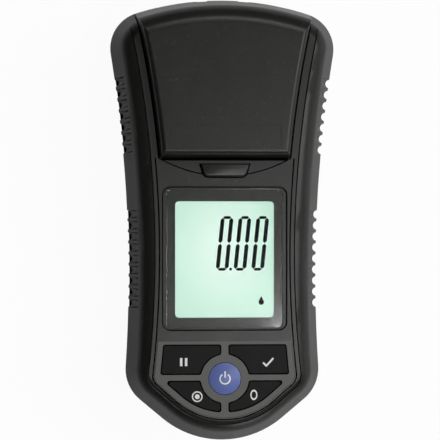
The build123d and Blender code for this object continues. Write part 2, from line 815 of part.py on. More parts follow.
with BuildPart() as deck_screws:
    screws(
        deck_screw_places, screw_head_r, screw_r,
        deck_z, deck_z - screw_head, deck_screw_end_z + screw_clearance,
    )
deck_screws.part.label = "deck_screws"
export_step(deck_screws.part, "parts/deck_screws.step")

# Optical paths: the emitter's beam and, square to it, the detector's
optics_r = well_outer_r + optics_wall
optic_start = well_outer_r + well_gap
optics = [("infrared_emitter", (-1, 0, 0), emitter_r), ("scatter_detector", (0, 1, 0), detector_r)]


def along_beam(direction, radius, start, reach, mode=Mode.ADD):
    """A cylinder on an optical path, from start to reach as measured from the well's axis."""
    origin = Vector(0, well_y, beam_z) + Vector(*direction) * start
    with Locations(Plane(origin=origin, z_dir=direction)):
        Cylinder(radius, reach - start, align=(Align.CENTER, Align.CENTER, Align.MIN), mode=mode)


# Sample well: tube with a floor, a flange on the deck and a window for each optical path
with BuildPart() as sample_well:
    posts([(0, well_y)], well_outer_r, well_floor_z - well_floor, deck_z)
    posts([(0, well_y)], collar_r, deck_z, collar_z)
    posts([(0, well_y)], well_r, well_floor_z, collar_z, mode=Mode.SUBTRACT)
    for name, direction, radius in optics:
        along_beam(direction, beam_window_r, 0, collar_r, Mode.SUBTRACT)
sample_well.part.label = "sample_well"
export_step(sample_well.part, "parts/sample_well.step")

# Optics block: ring around the well with the emitter's socket and, square to it, the detector's
with BuildPart() as optics_block:
    posts([(0, well_y)], optics_r, beam_z - optics_height / 2, beam_z + optics_height / 2)
    for name, direction, radius in optics:
        along_beam(direction, socket_r, 0, optics_r + socket_length)
    for name, direction, radius in optics:
        along_beam(direction, radius + screw_clearance, 0, optics_r + socket_length, Mode.SUBTRACT)
    posts(
        [(0, well_y)], well_outer_r + well_gap,
        beam_z - optics_height / 2, beam_z + optics_height / 2, mode=Mode.SUBTRACT,
    )
optics_block.part.label = "optics_block"
export_step(optics_block.part, "parts/optics_block.step")

for name, direction, radius in optics:
    with BuildPart() as optic:
        optic_end = optic_start + optic_length
        along_beam(direction, radius, optic_start, optic_end)
        nose = optic.edges().filter_by(GeomType.CIRCLE).sort_by_distance(Vector(0, well_y, beam_z))[0]
        fillet(nose, radius / 2)
        with Locations(
            Plane(origin=Vector(0, well_y, beam_z) + Vector(*direction) * optic_end, z_dir=direction)
        ):
            with GridLocations(optic_lead_pitch, 0, 2, 1):
                Cylinder(optic_lead_r, optic_lead_length, align=(Align.CENTER, Align.CENTER, Align.MIN))
    optic.part.label = name
    export_step(optic.part, f"parts/{name}.step")

# Amplifier board on top of the optics block, and the ribbon from it to the main board
amplifier_z = beam_z + optics_height / 2
with BuildPart() as amplifier_board:
    with BuildSketch(Plane.XY.offset(amplifier_z)):
        with Locations((0, well_y)):
            RectangleRounded(2 * optics_r + 2 * amplifier_margin, 2 * optics_r, amplifier_corner_r)
            Circle(well_outer_r + well_gap, mode=Mode.SUBTRACT)
        with Locations(*deck_screw_places):
            Circle(deck_boss_r + screw_clearance, mode=Mode.SUBTRACT)
    extrude(amount=board_thickness)
amplifier_board.part.label = "amplifier_board"
export_step(amplifier_board.part, "parts/amplifier_board.step")

with BuildPart() as ribbon_cable:
    with BuildSketch(Plane.YZ.offset(-ribbon_width / 2)):
        with BuildLine():
            start_y = well_y - optics_r
            low_z = amplifier_z + board_thickness
            far_y = ribbon_rise_y - ribbon_thickness
            FilletPolyline(
                (start_y + ribbon_overlap, low_z), (far_y, low_z), (far_y, board_z),
                (ribbon_rise_y, board_z), (ribbon_rise_y, low_z + ribbon_thickness),
                (start_y + ribbon_overlap, low_z + ribbon_thickness),
                radius=ribbon_thickness / 4, close=True,
            )
        make_face()
    extrude(amount=ribbon_width)
ribbon_cable.part.label = "ribbon_cable"
export_step(ribbon_cable.part, "parts/ribbon_cable.step")

# Batteries: two layers of three across the block, turned end for end in turn
cell_z = [door_z + bay_clearance + cell_r + cell_pitch * layer for layer in (0, 1)]
cells = []
for layer, z in enumerate(cell_z):
    for column in (-1, 0, 1):
        turn = 1 if (column + layer) % 2 else -1
        cells.append((cell_y + cell_pitch * column, z, turn))
with BuildPart() as batteries:
    for y, z, turn in cells:
        with Locations(Plane(origin=(-turn * cell_length / 2, y, z), z_dir=(turn, 0, 0))):
            Cylinder(cell_r, cell_length - nub_length, align=(Align.CENTER, Align.CENTER, Align.MIN))
            Cylinder(nub_r, cell_length, align=(Align.CENTER, Align.CENTER, Align.MIN))
batteries.part.label = "batteries"
export_step(batteries.part, "parts/batteries.step")

with BuildPart() as battery_contacts:
    for side in (-1, 1):
        block(
            *sorted((side * bay_half_x, side * (bay_half_x - contact_thickness))),
            cell_y - bay_half_y + bay_clearance, cell_y + bay_half_y - bay_clearance,
            cell_z[0] - cell_r, cell_z[1] + cell_r,
        )
        # a spring at each cell's flat end and a pad at its nub
        for y, z, turn in cells:
            with Locations(Plane(origin=(side * bay_half_x, y, z), z_dir=(-side, 0, 0))):
                if turn == side:
                    Cylinder(nub_r, bay_end_room, align=(Align.CENTER, Align.CENTER, Align.MIN))
                else:
                    Cone(contact_r, nub_r, bay_end_room, align=(Align.CENTER, Align.CENTER, Align.MIN))
battery_contacts.part.label = "battery_contacts"
export_step(battery_contacts.part, "parts/battery_contacts.step")

# Battery door, flush with the foot, and its screw
with BuildPart() as battery_door:
    with BuildSketch(Plane.XY.offset(door_recess)):
        add(door_outline())
    extrude(amount=door_thickness)
    with BuildSketch(Plane.XY.offset(door_recess)):
        with Locations((0, cell_y - bay_half_y / 2)):
            with GridLocations(0, door_ridge_pitch, 1, door_ridge_count):
                SlotOverall(door_ridge_length, door_ridge_width)
    extrude(amount=door_ridge_depth, mode=Mode.SUBTRACT)
    posts([(0, door_screw_y)], screw_r + screw_clearance, 0, door_z, mode=Mode.SUBTRACT)
    posts([(0, door_screw_y)], screw_head_r + screw_clearance, 0, door_screw_seat_z, mode=Mode.SUBTRACT)
battery_door.part.label = "battery_door"
export_step(battery_door.part, "parts/battery_door.step")

with BuildPart() as door_screw:
    screws(
        [(0, door_screw_y)], screw_head_r, screw_r,
        door_screw_seat_z - door_screw_head, door_screw_seat_z, door_boss_z - wall - screw_clearance,
    )
door_screw.part.label = "door_screw"
export_step(door_screw.part, "parts/door_screw.step")

# Lid: hollow cap with a raised plateau, a crescent ledge and a finger tab
lid_outer_end = end_form()
lid_inner_end = end_form(lid_wall)
crescent_z = panel_z - ledge_drop
with BuildPart() as lid:
    with BuildSketch(Plane.XY.offset(lid_foot_z)):
        add(aperture_outline(seam))
    extrude(amount=crescent_z - lid_foot_z)
    add(lid_outer_end, mode=Mode.INTERSECT)
    with BuildPart(mode=Mode.PRIVATE) as plateau:
        with BuildSketch(Plane.XY.offset(crescent_z)):
            add(aperture_outline(seam))
            with Locations((0, plateau_front_y + length / 2)):
                Rectangle(width, length, mode=Mode.INTERSECT)
        extrude(amount=lid_top_z - crescent_z, taper=plateau_draft)
        fillet(plateau.faces().sort_by(Axis.Z)[-1].edges(), plateau_round)
        add(lid_outer_end, mode=Mode.INTERSECT)
    add(plateau.part)
    # hollow, open below
    with BuildSketch(Plane.XY.offset(parting_z)):
        add(aperture_outline(seam + lid_wall))
        with Locations((0, plateau_front_y + lid_wall + length / 2)):
            Rectangle(width, length, mode=Mode.INTERSECT)
    lid_hollow = extrude(amount=crescent_z - parting_z, mode=Mode.PRIVATE)
    with BuildSketch(Plane.XY.offset(crescent_z)):
        add(aperture_outline(seam + lid_wall))
        with Locations((0, plateau_front_y + lid_wall + length / 2)):
            Rectangle(width, length, mode=Mode.INTERSECT)
    lid_hollow += extrude(
        amount=lid_top_z - lid_roof - crescent_z, taper=plateau_draft, mode=Mode.PRIVATE
    )
    add(lid_hollow & lid_inner_end, mode=Mode.SUBTRACT)
    # the crescent is a thin plate, and the skirt stops above the deck but at the closed end
    block(
        -width / 2, width / 2, 0, plateau_front_y,
        parting_z, crescent_z - crescent_thickness, mode=Mode.SUBTRACT,
    )
    with BuildSketch(Plane.XY.offset(parting_z)):
        add(case_outline(end_skirt_depth))
    extrude(amount=deck_z + lid_skirt_gap - parting_z, mode=Mode.SUBTRACT)
    # groove that sets the plateau off from the crescent
    block(
        -groove_half, groove_half, plateau_front_y - groove_width, plateau_front_y,
        crescent_z - groove_depth, crescent_z, mode=Mode.SUBTRACT,
    )
    # finger tab on the crescent
    with BuildSketch(Plane.XY.offset(crescent_z)):
        with BuildLine():
            Polyline(
                (-tab_width / 2, tab_top_y), (tab_width / 2, tab_top_y),
                (tab_width / 2 - tab_side_lean, tab_foot_y),
                (-tab_width / 2 + tab_side_lean, tab_foot_y), (-tab_width / 2, tab_top_y),
            )
        corners = make_face().vertices().group_by(Axis.Y)[0]
        fillet(corners, tab_corner_r)
    extrude(amount=tab_height)
    tab_top = lid.faces().filter_by(Axis.Z).sort_by_distance((0, tab_top_y, crescent_z + tab_height))[0]
    fillet(tab_top.edges(), tab_edge_round)
    # shallow recess for a label
    with BuildSketch(Plane.XY.offset(lid_top_z)):
        with Locations((0, (label_foot_y + label_top_y) / 2)):
            RectangleRounded(label_width, label_top_y - label_foot_y, label_corner_r)
    extrude(amount=-label_depth, mode=Mode.SUBTRACT)
    # gaps for the case knuckles, then the lid's own knuckle on its web
    for side in (-1, 1):
        ends = sorted((side * lid_knuckle_half, side * (case_knuckle_end + knuckle_gap)))
        block(
            *ends, hinge_y - 2 * knuckle_r, length / 2 + wall,
            parting_z, hinge_z + knuckle_r + seam, mode=Mode.SUBTRACT,
        )
    hinge_ring(knuckle_r, -lid_knuckle_half, lid_knuckle_half)
    block(
        -lid_knuckle_half, lid_knuckle_half, hinge_y - knuckle_r / 2, hinge_y + knuckle_r / 2,
        hinge_z, hinge_z + knuckle_web,
    )
    hinge_ring(pin_r + pin_clearance, -lid_knuckle_half, lid_knuckle_half, mode=Mode.SUBTRACT)
lid.part.label = "lid"
export_step(lid.part, "parts/lid.step")

with BuildPart() as hinge_pin:
    hinge_ring(pin_r, -case_knuckle_end + knuckle_gap, case_knuckle_end - knuckle_gap)
hinge_pin.part.label = "hinge_pin"
export_step(hinge_pin.part, "parts/hinge_pin.step")

# Light baffle under the lid, and the foam ring that closes it against the well's flange
seal_z = collar_z + seal_gap
with BuildPart() as lid_baffle:
    posts([(0, well_y)], baffle_r, seal_z + seal_height, lid_top_z - lid_roof)
    posts(
        [(0, well_y)], baffle_r - baffle_wall,
        seal_z + seal_height, lid_top_z - lid_roof, mode=Mode.SUBTRACT,
    )
lid_baffle.part.label = "lid_baffle"
export_step(lid_baffle.part, "parts/lid_baffle.step")

with BuildPart() as lid_seal:
    posts([(0, well_y)], baffle_r, seal_z, seal_z + seal_height)
    posts([(0, well_y)], baffle_r - baffle_wall, seal_z, seal_z + seal_height, mode=Mode.SUBTRACT)
lid_seal.part.label = "lid_seal"
export_step(lid_seal.part, "parts/lid_seal.step")
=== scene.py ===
import bmesh
import bpy
import json
from math import cos, pi, radians, sin, sqrt, tan
from mathutils import Matrix, Vector


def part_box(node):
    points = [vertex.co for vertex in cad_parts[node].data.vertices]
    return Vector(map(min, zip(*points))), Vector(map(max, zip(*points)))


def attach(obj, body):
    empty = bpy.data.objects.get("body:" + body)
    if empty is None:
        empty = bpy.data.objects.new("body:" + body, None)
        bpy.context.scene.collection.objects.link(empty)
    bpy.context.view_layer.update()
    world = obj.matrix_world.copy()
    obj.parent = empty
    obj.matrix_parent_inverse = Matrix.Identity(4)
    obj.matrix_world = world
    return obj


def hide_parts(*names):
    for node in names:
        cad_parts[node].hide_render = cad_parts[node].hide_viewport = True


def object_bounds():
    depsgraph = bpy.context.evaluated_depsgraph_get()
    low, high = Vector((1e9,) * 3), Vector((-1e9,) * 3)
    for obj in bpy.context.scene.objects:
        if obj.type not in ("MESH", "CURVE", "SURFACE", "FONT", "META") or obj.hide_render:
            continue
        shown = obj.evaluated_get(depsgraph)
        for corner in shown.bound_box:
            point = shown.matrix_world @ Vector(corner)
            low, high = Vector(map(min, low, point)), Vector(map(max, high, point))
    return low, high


# Hand-held turbidity meter lying on its back. Lengths are in metres, apart from the outlines of the
# flat pieces and the places of the screws, which are in millimetres.
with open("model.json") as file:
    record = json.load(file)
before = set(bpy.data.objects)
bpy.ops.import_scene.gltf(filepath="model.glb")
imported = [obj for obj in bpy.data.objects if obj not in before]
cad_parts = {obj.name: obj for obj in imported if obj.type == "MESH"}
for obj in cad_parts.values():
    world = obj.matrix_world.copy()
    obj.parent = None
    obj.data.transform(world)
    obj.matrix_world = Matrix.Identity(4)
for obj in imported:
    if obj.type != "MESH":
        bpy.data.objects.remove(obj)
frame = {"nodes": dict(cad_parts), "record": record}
cad_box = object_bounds()
scene = bpy.context.scene
nodes = frame["nodes"]

MM = 0.001
glass_low, glass_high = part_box("lcd_glass")
screen = (glass_low + glass_high) / 2

# Colours, linear
CASE_BLACK = (0.0135, 0.0139, 0.0124)
LID_BLACK = (0.0125, 0.0129, 0.0114)
PANEL_BLACK = (0.0130, 0.0134, 0.0118)
PAINTED_SHADE_BLACK = (0.0008, 0.0008, 0.0008)
COMPARTMENT_BLACK = (0.0065, 0.0065, 0.0062)
FOAM_BLACK = (0.012, 0.012, 0.012)
EPOXY_VIOLET = (0.020, 0.012, 0.030)
INNER_CREAM = (0.55, 0.55, 0.52)
KEYPAD_GREY = (0.094, 0.095, 0.088)
KEY_BLACK = (0.0030, 0.0030, 0.0030)
POWER_BLUE = (0.118, 0.158, 0.400)
MASK_GREY = (0.0190, 0.0200, 0.0170)
RUBBER_GREY = (0.30, 0.30, 0.30)
SCREW_STEEL = (0.46, 0.45, 0.43)
PIN_STEEL = (0.50, 0.50, 0.49)
CONTACT_NICKEL = (0.62, 0.60, 0.55)
BOARD_GREEN = (0.010, 0.085, 0.030)
TRACK_GREEN = (0.030, 0.170, 0.070)
PAD_TIN = (0.62, 0.60, 0.55)
SLEEVE_DARK = (0.020, 0.020, 0.024)
SLEEVE_LIGHT = (0.030, 0.030, 0.036)
SLEEVE_COPPER = (0.50, 0.24, 0.09)
CABLE_DARK = (0.20, 0.20, 0.21)
CABLE_LIGHT = (0.34, 0.34, 0.36)
GLASS_DARK = (0.30, 0.42, 0.36)
GLASS_LIGHT = (0.36, 0.46, 0.41)
LCD_MINT = (0.62, 0.87, 0.74)
LCD_BRIGHT = (0.84, 1.00, 0.91)
LENS_CLEAR = (0.96, 0.98, 0.97)
GUIDE_MILK = (0.72, 0.80, 0.77)
SEGMENT_INK = (0.001, 0.002, 0.006)
PRINT_WHITE = (0.80, 0.80, 0.78)
DUST = (0.32, 0.31, 0.29)


# Node materials

# Most of a noise's values lie between these two
NOISE_LOW = 0.3
NOISE_HIGH = 0.7
# Cosines of the angle by which a bevel would turn the surface, on the flats and on a full edge
FLAT_COSINE = 0.97
EDGE_COSINE = 0.72
# How far a normal points up where dust starts to settle, and where it settles fully
UP_START = 0.2
UP_FULL = 0.95


class Graph:
    """A material's node tree, with one short call for each kind of node that the finishes use."""

    def __init__(self, name):
        self.material = bpy.data.materials.new(name)
        self.material.use_nodes = True
        self.tree = self.material.node_tree
        self.tree.nodes.clear()
        self.surface = self.add("ShaderNodeBsdfPrincipled")
        output = self.add("ShaderNodeOutputMaterial")
        self.join(self.surface.outputs["BSDF"], output.inputs["Surface"])
        self.place = self.add("ShaderNodeTexCoord").outputs["Object"]

    def add(self, kind, **settings):
        node = self.tree.nodes.new(kind)
        for key, value in settings.items():
            setattr(node, key, value)
        return node

    def join(self, source, target):
        self.tree.links.new(source, target)

    def feed(self, node, name, value):
        """Gives an input a socket to read or a plain value."""
        if isinstance(value, bpy.types.NodeSocket):
            self.join(value, node.inputs[name])
        else:
            node.inputs[name].default_value = value

    def noise(self, size, detail=2.0, roughness=0.5, where=None, distortion=0.0):
        """Noise whose features are about size metres across."""
        node = self.add("ShaderNodeTexNoise")
        self.feed(node, "Vector", where or self.place)
        self.feed(node, "Scale", 1 / size)
        self.feed(node, "Detail", detail)
        self.feed(node, "Roughness", roughness)
        self.feed(node, "Distortion", distortion)
        return node.outputs["Fac"]

    def cells(self, size):
        """Distance to the nearest cell point, for cells about size metres across."""
        node = self.add("ShaderNodeTexVoronoi", feature="F1")
        self.feed(node, "Vector", self.place)
        self.feed(node, "Scale", 1 / size)
        return node.outputs["Distance"]

    def stretched(self, factors):
        """The object's coordinates scaled along each axis."""
        node = self.add("ShaderNodeMapping")
        self.feed(node, "Vector", self.place)
        self.feed(node, "Scale", factors)
        return node.outputs["Vector"]

    def remap(self, value, low, high, to_low, to_high):
        node = self.add("ShaderNodeMapRange")
        self.feed(node, "Value", value)
        self.feed(node, "From Min", low)
        self.feed(node, "From Max", high)
        self.feed(node, "To Min", to_low)
        self.feed(node, "To Max", to_high)
        return node.outputs["Result"]

    def spread(self, noise, to_low, to_high):
        """A noise stretched over a range."""
        return self.remap(noise, NOISE_LOW, NOISE_HIGH, to_low, to_high)

    def blend(self, factor, first, second):
        """A colour between two others."""
        node = self.add("ShaderNodeMix", data_type="RGBA")
        self.feed(node, 0, factor)
        for index, colour in ((6, first), (7, second)):
            if isinstance(colour, tuple):
                colour = (*colour, 1.0)
            self.feed(node, index, colour)
        return node.outputs[2]

    def combine(self, operation, first, second):
        node = self.add("ShaderNodeMath", operation=operation)
        self.feed(node, 0, first)
        self.feed(node, 1, second)
        return node.outputs["Value"]

    def bump(self, height, strength, depth, below=None):
        node = self.add("ShaderNodeBump")
        self.feed(node, "Height", height)
        self.feed(node, "Strength", strength)
        self.feed(node, "Distance", depth)
        if below:
            self.join(below, node.inputs["Normal"])
        return node.outputs["Normal"]

    def edges(self, radius):
        """1 on convex and concave edges, 0 on the flats, from how far a bevel would turn the surface."""
        bevel = self.add("ShaderNodeBevel", samples=4)
        self.feed(bevel, "Radius", radius)
        geometry = self.add("ShaderNodeNewGeometry")
        dot = self.add("ShaderNodeVectorMath", operation="DOT_PRODUCT")
        self.join(bevel.outputs["Normal"], dot.inputs[0])
        self.join(geometry.outputs["Normal"], dot.inputs[1])
        return self.remap(dot.outputs["Value"], FLAT_COSINE, EDGE_COSINE, 0.0, 1.0)

    def upward(self):
        """1 where the surface faces up, where dust settles."""
        geometry = self.add("ShaderNodeNewGeometry")
        split = self.add("ShaderNodeSeparateXYZ")
        self.join(geometry.outputs["Normal"], split.inputs["Vector"])
        return self.remap(split.outputs["Z"], UP_START, UP_FULL, 0.0, 1.0)

    def finish(self, **values):
        """Sets the shader's own inputs by name, with _ for a space."""
        for key, value in values.items():
            if isinstance(value, tuple):
                value = (*value, 1.0)
            self.feed(self.surface, key.replace("_", " "), value)
        return self.material


def scaled(colour, factor):
    """A darker or lighter colour, no brighter than white."""
    return tuple(min(c * factor, 1.0) for c in colour)


# Sizes of what shows on moulded plastic
FLOW_SIZE = 26 * MM
SPECK_SIZE = 1.1 * MM
WEAR_AND_HIGHLIGHT_PATCH_SIZE = 7 * MM
GLOSS_SIZE = 9 * MM
EDGE_WEAR_AND_HIGHLIGHT_REACH = 0.45 * MM


def moulded(
    name, colour, roughness, grain=0.34 * MM, depth=0.014 * MM, wear_and_highlight=0.14, specular=0.28, dust=0.05,
):
    """Moulded plastic: spark-eroded grain, faint flow marks, edges lightened partly as rubbed wear and
    partly as a painted highlight, and a little dust.
    """
    g = Graph(name)
    along_flow = g.stretched((1.0, 0.4, 1.0))
    flow = g.noise(FLOW_SIZE, detail=3.0, roughness=0.55, where=along_flow, distortion=0.6)
    base = g.blend(flow, scaled(colour, 0.93), scaled(colour, 1.08))
    specks = g.remap(g.noise(SPECK_SIZE, roughness=0.6), 0.62, 0.74, 0.0, dust)
    base = g.blend(g.combine("MULTIPLY", specks, g.upward()), base, DUST)
    # Painted highlight: all edges, concave ones too, are lightened, partly standing for rubbed wear and
    # partly for a highlight
    rubbed_and_highlit = tuple(c * 1.9 + 0.012 for c in colour)
    patchy = g.spread(g.noise(WEAR_AND_HIGHLIGHT_PATCH_SIZE, detail=3.0, roughness=0.6), 0.25, 1.0)
    edge = g.combine("MULTIPLY", g.edges(EDGE_WEAR_AND_HIGHLIGHT_REACH), patchy)
    base = g.blend(g.combine("MULTIPLY", edge, wear_and_highlight), base, rubbed_and_highlit)
    gloss = g.spread(g.noise(GLOSS_SIZE, detail=4.0, roughness=0.6), roughness - 0.015, roughness + 0.02)
    gloss = g.combine("SUBTRACT", gloss, g.combine("MULTIPLY", edge, 0.10))
    pits = g.bump(g.noise(grain, detail=3.0, roughness=0.65), strength=0.55, depth=depth)
    pits = g.bump(g.cells(grain * 1.9), strength=0.25, depth=depth, below=pits)
    return g.finish(Base_Color=base, Roughness=gloss, Specular_IOR_Level=specular, Normal=pits)


def printed(name, colour, roughness, specular=0.3):
    """Screen-printed ink: almost flat, with a fine uneven edge in its gloss."""
    g = Graph(name)
    tone = g.noise(0.5 * MM)
    base = g.blend(tone, scaled(colour, 0.93), scaled(colour, 1.05))
    gloss = g.spread(g.noise(1.6 * MM), roughness - 0.05, roughness + 0.05)
    relief = g.bump(tone, strength=0.2, depth=0.01 * MM)
    return g.finish(Base_Color=base, Roughness=gloss, Specular_IOR_Level=specular, Normal=relief)


def rubbery(name, colour, roughness, pore=0.5 * MM, depth=0.05 * MM):
    """Rubber or foam, with pores."""
    g = Graph(name)
    pores = g.cells(pore)
    base = g.blend(g.remap(pores, 0.1, 0.6, 0.0, 1.0), scaled(colour, 0.6), colour)
    gloss = g.spread(g.noise(4 * MM), roughness - 0.06, roughness + 0.06)
    relief = g.bump(pores, strength=0.6, depth=depth)
    return g.finish(Base_Color=base, Roughness=gloss, Specular_IOR_Level=0.25, Normal=relief)


def steel(name, colour, roughness, turned=False):
    """Plated steel with fine drawing or turning marks."""
    g = Graph(name)
    along = (18.0, 18.0, 1.0) if turned else (1.0, 18.0, 18.0)
    marks = g.noise(1.4 * MM, detail=3.0, roughness=0.6, where=g.stretched(along))
    stain = g.noise(3 * MM, detail=3.0, roughness=0.6)
    base = g.blend(stain, scaled(colour, 0.82), colour)
    gloss = g.spread(marks, roughness - 0.08, roughness + 0.10)
    relief = g.bump(marks, strength=0.25, depth=0.01 * MM)
    return g.finish(Base_Color=base, Roughness=gloss, Metallic=1.0, Normal=relief)


TRACK_PITCH = 6 * MM
TRACK_WIDTH_SHARE = 0.035
PAD_PITCH = 2.6 * MM


def circuit_board(name):
    """Solder mask over a maze of tracks, with tinned pads."""
    g = Graph(name)
    grid = g.add("ShaderNodeTexBrick", offset=0.5, squash=1.0)
    g.feed(grid, "Vector", g.place)
    g.feed(grid, "Scale", 1 / TRACK_PITCH)
    g.feed(grid, "Mortar Size", TRACK_WIDTH_SHARE)
    for brick in ("Color1", "Color2"):
        g.feed(grid, brick, (0.0, 0.0, 0.0, 1.0))
    g.feed(grid, "Mortar", (1.0, 1.0, 1.0, 1.0))
    pads = g.remap(g.cells(PAD_PITCH), 0.20, 0.16, 0.0, 1.0)
    base = g.blend(grid.outputs["Color"], BOARD_GREEN, TRACK_GREEN)
    base = g.blend(pads, base, PAD_TIN)
    gloss = g.remap(pads, 0.0, 1.0, 0.42, 0.28)
    relief = g.bump(grid.outputs["Color"], strength=0.4, depth=0.03 * MM)
    return g.finish(Base_Color=base, Roughness=gloss, Normal=relief)


# Where a cell's band starts and is full, along its length
BAND_START = 9 * MM
BAND_FULL = 9.3 * MM


def battery_sleeve(name):
    """Cells in a plain dark sleeve with a copper-coloured band at one end."""
    g = Graph(name)
    split = g.add("ShaderNodeSeparateXYZ")
    g.join(g.place, split.inputs["Vector"])
    band = g.remap(split.outputs["X"], BAND_START, BAND_FULL, 0.0, 1.0)
    wrap = g.noise(5 * MM)
    base = g.blend(band, g.blend(wrap, SLEEVE_DARK, SLEEVE_LIGHT), SLEEVE_COPPER)
    gloss = g.spread(g.noise(2 * MM), 0.22, 0.34)
    relief = g.bump(wrap, strength=0.1, depth=0.02 * MM)
    return g.finish(Base_Color=base, Roughness=gloss, Metallic=0.4, Normal=relief)


CONDUCTOR_WAVE = 4.2 * MM


def ribbon(name):
    """Flat cable: grey conductors side by side."""
    g = Graph(name)
    wave = g.add("ShaderNodeTexWave", wave_type="BANDS", bands_direction="X")
    g.feed(wave, "Vector", g.place)
    g.feed(wave, "Scale", 1 / CONDUCTOR_WAVE)
    base = g.blend(wave.outputs["Fac"], CABLE_DARK, CABLE_LIGHT)
    relief = g.bump(wave.outputs["Fac"], strength=0.8, depth=0.15 * MM)
    gloss = g.spread(g.noise(3 * MM), 0.38, 0.5)
    return g.finish(Base_Color=base, Roughness=gloss, Normal=relief)


# How far above the screen's middle its glow is centred, and where the glow starts and is full
GLOW_ABOVE = 3 * MM
GLOW_START = 20 * MM
GLOW_FULL = 2 * MM
GLOW_STRENGTH = 0.82


def painted_glow_glass(name):
    """The display's glass, glowing with painted light: mint, and brighter towards its middle as a
    painted pool of light.
    """
    g = Graph(name)
    offset = g.add("ShaderNodeMapping", vector_type="POINT")
    g.feed(offset, "Vector", g.place)
    g.feed(offset, "Location", (-screen.x, -(screen.y + GLOW_ABOVE), 0.0))
    flat = g.add("ShaderNodeVectorMath", operation="MULTIPLY")
    g.join(offset.outputs["Vector"], flat.inputs[0])
    flat.inputs[1].default_value = (1.0, 0.8, 0.0)
    reach = g.add("ShaderNodeVectorMath", operation="LENGTH")
    g.join(flat.outputs["Vector"], reach.inputs[0])
    glow = g.remap(reach.outputs["Value"], GLOW_START, GLOW_FULL, 0.0, 1.0)
    haze = g.spread(g.noise(6 * MM), 0.0, 0.12)
    colour = g.blend(g.combine("SUBTRACT", glow, haze), LCD_MINT, LCD_BRIGHT)
    pixels = g.bump(g.noise(0.25 * MM), strength=0.05, depth=0.005 * MM)
    # Painted light: the glass glows by emission, and its base colour is lighter where the painted glow
    # is stronger
    return g.finish(
        Base_Color=g.blend(glow, GLASS_DARK, GLASS_LIGHT),
        Emission_Color=colour, Emission_Strength=GLOW_STRENGTH,
        Roughness=g.remap(haze, 0.0, 0.12, 0.18, 0.26), Specular_IOR_Level=0.3, Normal=pixels,
    )


ACRYLIC_IOR = 1.49


def clear(name, tint, roughness):
    """Clear acrylic with a faintly uneven polish."""
    g = Graph(name)
    gloss = g.spread(g.noise(12 * MM, detail=3.0), roughness, roughness + 0.02)
    ripple = g.bump(g.noise(18 * MM, detail=1.0), strength=0.05, depth=0.02 * MM)
    base = g.blend(g.noise(30 * MM), scaled(tint, 0.985), tint)
    return g.finish(
        Base_Color=base, Roughness=gloss, Transmission_Weight=1.0, IOR=ACRYLIC_IOR,
        Specular_IOR_Level=0.2, Normal=ripple,
    )


def frosted(name, colour):
    """Milky light guide."""
    g = Graph(name)
    dots = g.remap(g.cells(1.2 * MM), 0.25, 0.35, 0.0, 1.0)
    base = g.blend(dots, scaled(colour, 1.08), colour)
    gloss = g.spread(g.noise(2 * MM), 0.30, 0.42)
    relief = g.bump(dots, strength=0.2, depth=0.02 * MM)
    return g.finish(Base_Color=base, Roughness=gloss, Normal=relief)


finishes = {
    "case": moulded("case_plastic", CASE_BLACK, 0.34),
    "panel": moulded("panel_plastic", PANEL_BLACK, 0.34, grain=0.28 * MM),
    "lid": moulded("lid_plastic", LID_BLACK, 0.32),
    "keypad_plate": moulded("keypad_plate_plastic", KEYPAD_GREY, 0.45, grain=0.22 * MM, wear_and_highlight=0.2),
    "key": moulded(
        "key_plastic", KEY_BLACK, 0.46,
        grain=0.2 * MM, depth=0.008 * MM, wear_and_highlight=0.2, specular=0.12, dust=0.02,
    ),
    "power_key": moulded(
        "power_key_plastic", POWER_BLUE, 0.34,
        grain=0.25 * MM, depth=0.006 * MM, wear_and_highlight=0.15, dust=0.02,
    ),
    "mask": printed("mask_ink", MASK_GREY, 0.4),
    "inner_plastic": moulded("inner_plastic", INNER_CREAM, 0.5),
    "compartment": moulded(
        "compartment_plastic", COMPARTMENT_BLACK, 0.58,
        grain=0.45 * MM, depth=0.02 * MM, specular=0.25,
    ),
    "optic": moulded(
        "optic_epoxy", EPOXY_VIOLET, 0.18, grain=0.6 * MM, depth=0.002 * MM, wear_and_highlight=0.1,
    ),
    "silicone": rubbery("silicone_rubber", RUBBER_GREY, 0.6, pore=1.4 * MM, depth=0.01 * MM),
    "foam": rubbery("seal_foam", FOAM_BLACK, 0.85),
    "screw": steel("screw_steel", SCREW_STEEL, 0.34, turned=True),
    "pin": steel("pin_steel", PIN_STEEL, 0.28),
    "contact": steel("contact_nickel", CONTACT_NICKEL, 0.26),
    "circuit_board": circuit_board("circuit_board"),
    "battery": battery_sleeve("battery_sleeve"),
    "ribbon": ribbon("ribbon_cable"),
    "lcd": painted_glow_glass("display_glass_painted_glow"),
    "lens": clear("lens_acrylic", LENS_CLEAR, 0.07),
    "light_guide": frosted("light_guide", GUIDE_MILK),
}

# The CAD's nodes: one finish each, smooth faces and sharp edges
WELD_REACH = 0.001 * MM
SHARP_ANGLE = radians(32)
NORMAL_WEIGHT = 80
slots = {entry["node"]: entry["material_slot"] for entry in frame["record"]["subparts"]}
for name, node in nodes.items():
    node.data.materials.clear()
    node.data.materials.append(finishes[slots[name]])
    node.data.shade_smooth()
    weld = node.modifiers.new("weld", "WELD")
    weld.merge_threshold = WELD_REACH
    split = node.modifiers.new("split", "EDGE_SPLIT")
    split.split_angle = SHARP_ANGLE
    normals = node.modifiers.new("normals", "WEIGHTED_NORMAL")
    normals.weight = NORMAL_WEIGHT


# Flat pieces: outlines with a little thickness

def new_piece(name, mesh, material):
    """An object in the scene from a bmesh, which is freed."""
    data = bpy.data.meshes.new(name)
    mesh.to_mesh(data)
    mesh.free()
    data.materials.append(material)
    piece = bpy.data.objects.new(name, data)
    scene.collection.objects.link(piece)
    return piece


def thicken(mesh, thickness):
    """Gives a mesh's level faces a thickness, upwards."""
    raised = bmesh.ops.extrude_face_region(mesh, geom=list(mesh.faces))
    for item in raised["geom"]:
        if isinstance(item, bmesh.types.BMVert):
            item.co.z += thickness


